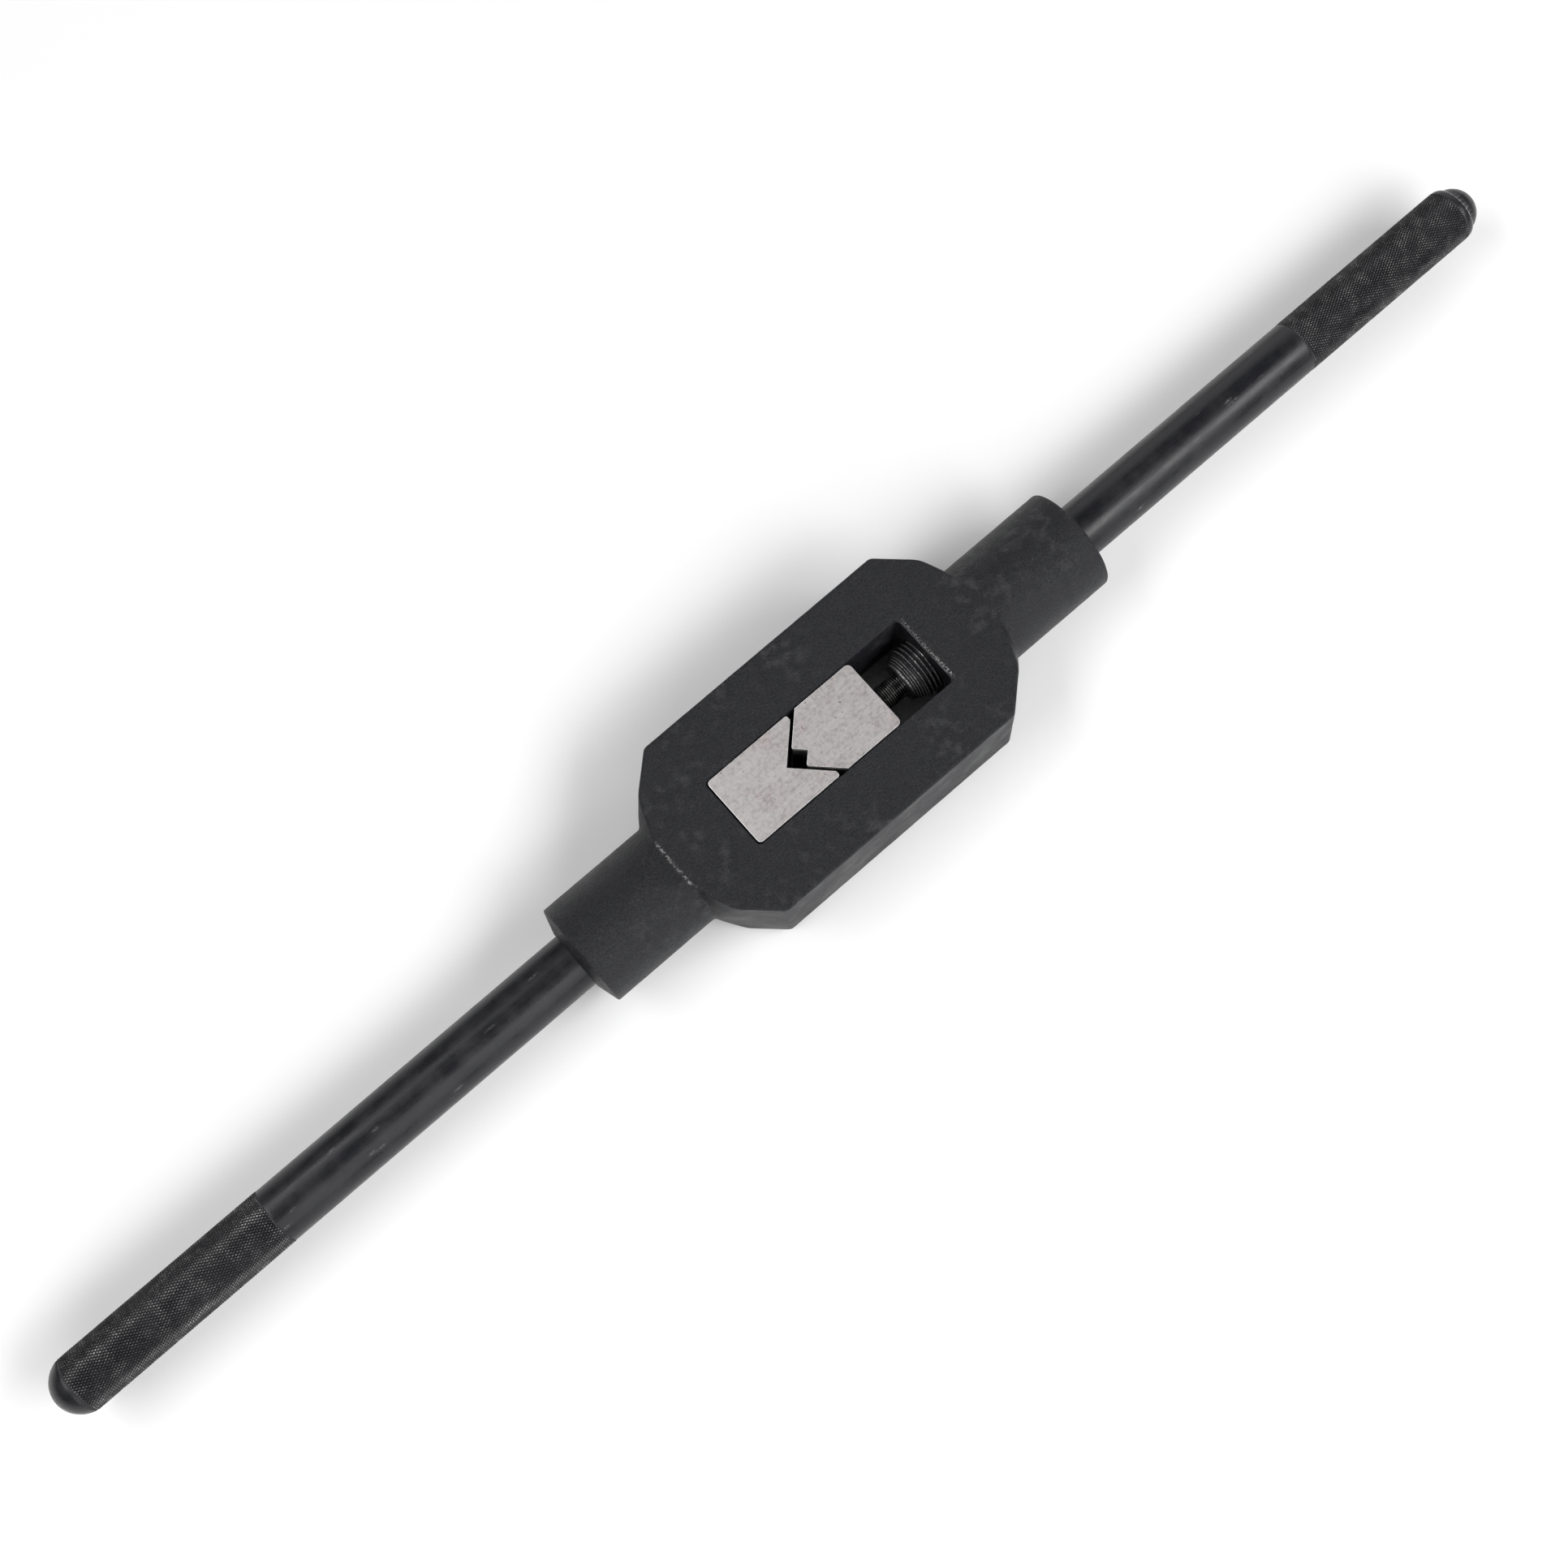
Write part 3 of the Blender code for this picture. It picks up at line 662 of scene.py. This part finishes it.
def ring_top(piece, width):
    """Inset the ground top face, so that its rim can carry a painted highlight, brighter than the rest."""
    work = bmesh.new()
    work.from_mesh(piece.data)
    high = JAW_TOP - 0.0001
    flat = [face for face in work.faces if face.normal.z > 0.99 and face.calc_center_median().z > high]
    top = max(flat, key=lambda face: face.calc_area())
    bmesh.ops.inset_individual(work, faces=[top], thickness=width)
    work.verts.index_update()
    inner = [vertex.index for vertex in top.verts]
    work.to_mesh(piece.data)
    work.free()
    rim = np.ones(len(piece.data.vertices))
    rim[inner] = 0
    paint(piece, "rim", rim)


def make_jaw(name, outline, look, body, node):
    upper = WINDOW_HALF_WIDTH - SLIDE_GAP
    flange = prism(name, outline(FLANGE_HALF), JAW_BOTTOM, LIP_Z - GAP)
    block = prism("t", outline(upper), JAW_BOTTOM + 0.001, JAW_TOP)
    carve(flange, block, "UNION", "EXACT")
    if node == "movable_jaw":
        slot = STEM_RADIUS + GAP
        profile = [(MOVABLE_BACK - 0.0040, slot), (MOVABLE_BACK + 0.001, slot)]
        carve(flange, turned("t", profile, 48), solver="EXACT")
    soften(flange, 0.00016, 2, 30)
    ring_top(flange, 0.00014)
    shade(flange, 40)
    return settle(flange, body, look, "ground_steel", node)


# ------------------------------------------------------------------ bars with real knurl and thread


def triangle_wave(phase):
    """1 at whole phases, 0 half-way between them."""
    return 2 * np.abs(np.mod(phase, 1) - 0.5)


def knurl_height(x, columns, start, end):
    """Height of the diamonds over the groove floor, on a grid that their grooves cross corner to corner."""
    tooth = np.arange(columns)[None, :] / 4
    row = (x - start) / KNURL_PERIOD
    height = np.minimum(triangle_wave(row + tooth), triangle_wave(row - tooth))
    fade = np.clip((x - start) / 0.0005, 0, 1) * np.clip((end - x) / 0.0005, 0, 1)
    return height, fade


def dome_radius(x, base_x, base_radius, height):
    """Radius of a spherical cap that stands on its base."""
    ball = (base_radius ** 2 + height ** 2) / (2 * height)
    from_centre = x - (base_x + height - ball)
    return np.sqrt(np.maximum(ball ** 2 - from_centre ** 2, 0))


def dome_rows(base_x, height, count):
    """Places along a dome, closer together towards its tip."""
    return base_x + height * np.sin(np.radians(np.linspace(0, 90, count + 1)[1:-1]))


def make_fixed_bar(look):
    columns = KNURL_TEETH * 4
    grip_end = BAR_TIP - DOME_HEIGHT
    period_rows = round((grip_end - FIXED_KNURL) / KNURL_PERIOD * 4)
    tip_rows = dome_rows(grip_end + 0.0001, DOME_HEIGHT - 0.0002, 18)
    rows = np.concatenate([
        [BAR_ROOT, BAR_ROOT + 0.0008],
        np.linspace(BAR_ROOT + 0.002, FIXED_KNURL - 0.0003, 90),
        FIXED_KNURL + np.arange(period_rows) * KNURL_PERIOD / 4,
        [grip_end + 0.0001], tip_rows])
    x = rows[:, None] * np.ones(columns)
    turns = np.arange(columns)[None, :] * (2 * pi / columns) * np.ones((len(rows), 1))
    radius = np.full_like(x, FIXED_BAR_RADIUS)
    radius[0] -= 0.0008
    height, fade = knurl_height(x, columns, FIXED_KNURL, grip_end)
    raised = FIXED_GRIP_RADIUS - KNURL_DEPTH + KNURL_DEPTH * np.minimum(height * 1.12, 1.0)
    radius = np.where(fade > 0, FIXED_BAR_RADIUS + (raised - FIXED_BAR_RADIUS) * fade, radius)
    dome = dome_radius(x, grip_end, FIXED_BAR_RADIUS, DOME_HEIGHT - 0.0001)
    radius = np.where(x > grip_end, dome, radius)
    bar = ring_grid("fixed_bar", -x[::-1], radius[::-1], turns[::-1])
    finish_bar(bar, FIXED_GRIP_RADIUS, FIXED_KNURL, grip_end, 21)
    return settle(bar, "frame", look, "bar_black", "fixed_handle")


def make_adjusting_bar(look):
    columns = KNURL_TEETH * 4
    thread_end = GRIP_ROOT + THREAD_LENGTH
    lead_end = GRIP_ROOT + LEAD_LENGTH
    knurl_rows = round((GRIP_KNURL_END - GRIP_KNURL) / KNURL_PERIOD * 4)
    cap_base = GRIP_TIP - CAP_HEIGHT
    rows = np.concatenate([
        np.linspace(GRIP_ROOT, lead_end, int(LEAD_LENGTH / LEAD_PITCH * 8) + 1),
        np.linspace(lead_end, thread_end, int((THREAD_LENGTH - LEAD_LENGTH) / THREAD_PITCH * 7) + 1)[1:],
        np.linspace(thread_end + 0.0005, GRIP_KNURL - 0.0003, 66),
        GRIP_KNURL + np.arange(knurl_rows + 1) * KNURL_PERIOD / 4,
        GRIP_KNURL_END + (GRIP_RIM - GRIP_KNURL_END) * np.sin(np.radians(np.linspace(8, 88, 11))),
        [GRIP_RIM + 0.00005, GRIP_RIM + 0.00015], dome_rows(cap_base, CAP_HEIGHT, 16)])
    x = rows[:, None] * np.ones(columns)
    turns = np.arange(columns)[None, :] * (2 * pi / columns) * np.ones((len(rows), 1))

    crest = triangle_wave(x / THREAD_PITCH - turns / (2 * pi))
    depth = THREAD_DEPTH * (1 - np.clip(crest * 1.3 - 0.15, 0, 1))
    run_out = np.clip((thread_end - x) / 0.0015, 0, 1)
    radius = ADJUST_BAR_RADIUS - depth * run_out
    cone = LEAD_RADIUS + (x - GRIP_ROOT) * (ADJUST_BAR_RADIUS - LEAD_RADIUS) / LEAD_LENGTH
    lead_crest = triangle_wave(x / LEAD_PITCH - turns / (2 * pi))
    lead = cone - 0.00024 * (1 - np.clip(lead_crest * 1.3 - 0.15, 0, 1)) * (x > GRIP_ROOT + 0.0004)
    radius = np.where(x < lead_end, np.minimum(lead, radius), radius)

    height, fade = knurl_height(x, columns, GRIP_KNURL, GRIP_KNURL_END)
    raised = ADJUST_GRIP_RADIUS - KNURL_DEPTH + KNURL_DEPTH * np.minimum(height * 1.3, 1.0)
    radius = np.where(fade > 0, ADJUST_BAR_RADIUS + (raised - ADJUST_BAR_RADIUS) * fade, radius)
    over = np.clip((x - GRIP_KNURL_END) / (GRIP_RIM - GRIP_KNURL_END), 0, 1)
    fall = RIM_RADIUS + (ADJUST_BAR_RADIUS - RIM_RADIUS) * np.sqrt(np.maximum(1 - over ** 2, 0))
    radius = np.where(x > GRIP_KNURL_END, fall, radius)
    cap = np.where(x > cap_base, dome_radius(x, cap_base, CAP_RADIUS, CAP_HEIGHT - 0.00002), CAP_RADIUS)
    radius = np.where(x > GRIP_RIM, cap, radius)
    bar = ring_grid("adjusting_bar", x, radius, turns)
    finish_bar(bar, ADJUST_GRIP_RADIUS, GRIP_KNURL, GRIP_KNURL_END, 22)
    return settle(bar, "adjuster", look, "bar_black", "adjusting_handle")


def finish_bar(bar, grip_radius, knurl_start, knurl_end, seed):
    """Flat faces on the diamonds, smooth elsewhere, and worn crests, rims and small dings."""
    bar.data.shade_smooth()
    bar.data.set_sharp_from_angle(angle=radians(38))
    co = places(bar)
    reach = np.abs(co[:, 0])
    radius = np.hypot(co[:, 1], co[:, 2])
    grip = (reach > knurl_start) & (reach < knurl_end)
    crest = np.clip((radius - grip_radius + 0.00004) / 0.00004, 0, 1) * grip
    patchy = np.clip(0.2 + 0.55 * waves(co, seed, 0.0035), 0, 1)
    adjusting = co[:, 0] > 0
    beads = triangle_wave(np.arctan2(co[:, 1], co[:, 2]) * KNURL_TEETH / (4 * pi))
    rim = np.exp(-((co[:, 0] - GRIP_RIM + 0.00015) / 0.00025) ** 2) * beads
    rng = np.random.default_rng(seed)
    dings = np.zeros(len(co))
    for _ in range(9):
        spot = rng.uniform(BOSS_END + 0.002, knurl_start)
        turn = rng.uniform(-1.2, 1.2)
        point = np.array([spot, grip_radius * sin(turn), grip_radius * cos(turn)])
        spread = (rng.uniform(0.0003, 0.0008), 0.0002, 0.0002)
        away = (np.abs(co) * (1, 0, 0) + co * (0, 1, 1) - point) / spread
        dings = np.maximum(dings, np.exp(-(away ** 2).sum(1)))
    lead = LEAD_RADIUS + (reach - GRIP_ROOT) * (ADJUST_BAR_RADIUS - LEAD_RADIUS) / LEAD_LENGTH
    outer = np.minimum(lead, ADJUST_BAR_RADIUS)
    thread = np.clip((radius - outer + 0.00012) / 0.00012, 0, 1) * adjusting * (reach < WINDOW_HALF)
    thread *= reach > GRIP_ROOT + 0.0003
    paint(bar, "wear", np.clip(crest * (0.22 + 0.6 * patchy) + 1.1 * rim + 0.35 * dings * (1 - grip)
                               + 0.9 * thread, 0, 1))


def make_draw_screw(look):
    columns = 64
    start, end = MOVABLE_BACK - 0.0036, GRIP_ROOT + 0.004
    rows = np.linspace(start, end, int((end - start) / STEM_PITCH * 8) + 1)
    x = rows[:, None] * np.ones(columns)
    turns = np.arange(columns)[None, :] * (2 * pi / columns) * np.ones((len(rows), 1))
    crest = triangle_wave(x / STEM_PITCH - turns / (2 * pi))
    radius = STEM_RADIUS - STEM_DEPTH * (1 - np.clip(crest * 1.25 - 0.1, 0, 1))
    screw = ring_grid("draw_screw", x, radius, turns)
    shade(screw, 60)
    top = np.clip((np.hypot(*places(screw)[:, 1:].T) - STEM_RADIUS + 0.00015) / 0.00015, 0, 1)
    paint(screw, "wear", 0.9 * top)
    return settle(screw, "adjuster", look, "dark_steel", "jaw_draw_screw")


# ------------------------------------------------------------------ back plate and fasteners


def make_back_plate(look):
    half = size("back_plate") / 2
    outline = rounded(rectangle(half.x, half.y), [0.0025] * 4)
    plate = prism("rear_plate", outline, PLATE_LOW, PLATE_HIGH)
    for x in (-SCREW_X, SCREW_X):
        for y in (-SCREW_Y, SCREW_Y):
            profile = [(-0.001, SCREW_HEAD_RADIUS + 0.00012), (0.0001, SCREW_HEAD_RADIUS + 0.00012),
                       (0.0012, 0.0016), (0.0023, 0.0016)]
            seat = turned("t", profile, 48)
            seat.data.transform(Matrix.Translation((x, y, PLATE_LOW)) @ Matrix.Rotation(-pi / 2, 4, "Y"))
            carve(plate, seat, solver="EXACT")
    hole = turned("t", [(-0.001, PIN_RADIUS + 0.0001), (0.003, PIN_RADIUS + 0.0001)], 48)
    hole.data.transform(Matrix.Translation((PIN_X, 0, PLATE_LOW)) @ Matrix.Rotation(-pi / 2, 4, "Y"))
    carve(plate, hole, solver="EXACT")
    soften(plate, 0.00025, 2, 40)
    shade(plate, 35)
    paint(plate, "wear", np.zeros(len(plate.data.vertices)))
    # The plate's light grey is painted light, standing in for light reaching the shaded window floor.
    return settle(plate, "frame", look, "plate_grey", "back_plate")


def dress_small_parts(steel, bright):
    """Give the CAD fasteners their finished materials."""
    for node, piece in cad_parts.items():
        if node.startswith("back_plate_screw"):
            piece.data.materials.clear()
            piece.data.materials.append(steel)
            paint(piece, "wear", np.full(len(piece.data.vertices), 0.15))
        if node == "fixed_jaw_pin":
            piece.data.materials.clear()
            piece.data.materials.append(bright)


# ------------------------------------------------------------------ stage, lights and camera


def make_stage():
    floor = prism("floor", rectangle(3.0, 3.0), -0.02, 0.0)
    floor.data.transform(Matrix.Translation((0, 0, -0.0002)))
    paper = Look("paper")
    tone = paper.ramp(paper.noise(3, 2), 0.3, 0.7, 0.0, 1.0)
    paper.finish(paper.mix(tone, (0.86, 0.86, 0.86), (0.88, 0.88, 0.88)), 0.9, 0.0,
                 paper.bump(paper.noise(900, 2), 0.00001, 0.2))
    floor.data.materials.append(paper.material)


def area_light(name, place, width, height, power, target):
    data = bpy.data.lights.new(name, "AREA")
    data.shape = "RECTANGLE"
    data.size = width
    data.size_y = height
    data.energy = power
    lamp = bpy.data.objects.new(name, data)
    bpy.context.scene.collection.objects.link(lamp)
    lamp.location = place
    lamp.rotation_euler = (Vector(target) - Vector(place)).to_track_quat("-Z", "Y").to_euler()
    return lamp


def make_lights():
    """A soft box and a dimmer broad panel on each side of the bar, and a dim room above."""
    area_light("soft_box_near", ORIGIN + Vector((0.42, -0.56, 0.72)), 0.9, 0.36, 7.0, ORIGIN)
    area_light("soft_box_far", ORIGIN + Vector((-0.52, 0.33, 0.82)), 0.9, 0.44, 5.6, ORIGIN)
    area_light("soft_wall_near", ORIGIN + Vector((-0.16, -0.68, 0.44)), 1.3, 0.75, 5.4, ORIGIN)
    area_light("soft_wall_far", ORIGIN + Vector((0.62, 0.74, 0.40)), 1.0, 0.7, 2.4, ORIGIN)
    world = bpy.data.worlds.new("studio")
    bpy.context.scene.world = world
    world.use_nodes = True
    world.node_tree.nodes["Background"].inputs["Color"].default_value = (1, 1, 1, 1)
    world.node_tree.nodes["Background"].inputs["Strength"].default_value = 0.15
    bpy.context.scene.view_settings.view_transform = "Standard"


def make_camera():
    """Over the front face, leaned towards the fixed handle and the lower side, bar rising to the right."""
    aim = ORIGIN + Vector((-0.0123, -0.0002, 0))
    along, across, roll = radians(7.18), radians(10.72), radians(40.45)
    distance = 0.4628
    back = Vector((-sin(along), -sin(across) * cos(along), cos(across) * cos(along)))
    bar = Vector((1, 0, 0))
    flat = (bar - bar.project(back)).normalized()
    right = Quaternion(back, -roll) @ flat
    up = back.cross(right)
    turn = Matrix((right, up, back)).transposed().to_4x4()
    data = bpy.data.cameras.new("camera")
    data.sensor_width = 36
    data.lens = 53.1
    data.clip_start = 0.01
    camera = bpy.data.objects.new("camera", data)
    bpy.context.scene.collection.objects.link(camera)
    camera.matrix_world = Matrix.Translation(aim + back * distance) @ turn
    bpy.context.scene.camera = camera


# ------------------------------------------------------------------ build

cast = cast_black()
oxide = bar_black()
bright = ground_steel()
screw_steel = dark_steel()

make_casting(cast)
make_jaw("ground_fixed_jaw", fixed_outline, bright, "frame", "fixed_jaw")
make_jaw("ground_movable_jaw", movable_outline, bright, "sliding_jaw", "movable_jaw")
make_fixed_bar(oxide)
make_adjusting_bar(oxide)
make_draw_screw(screw_steel)
make_back_plate(plate_grey())
dress_small_parts(screw_steel, bright)
make_stage()
make_lights()
make_camera()
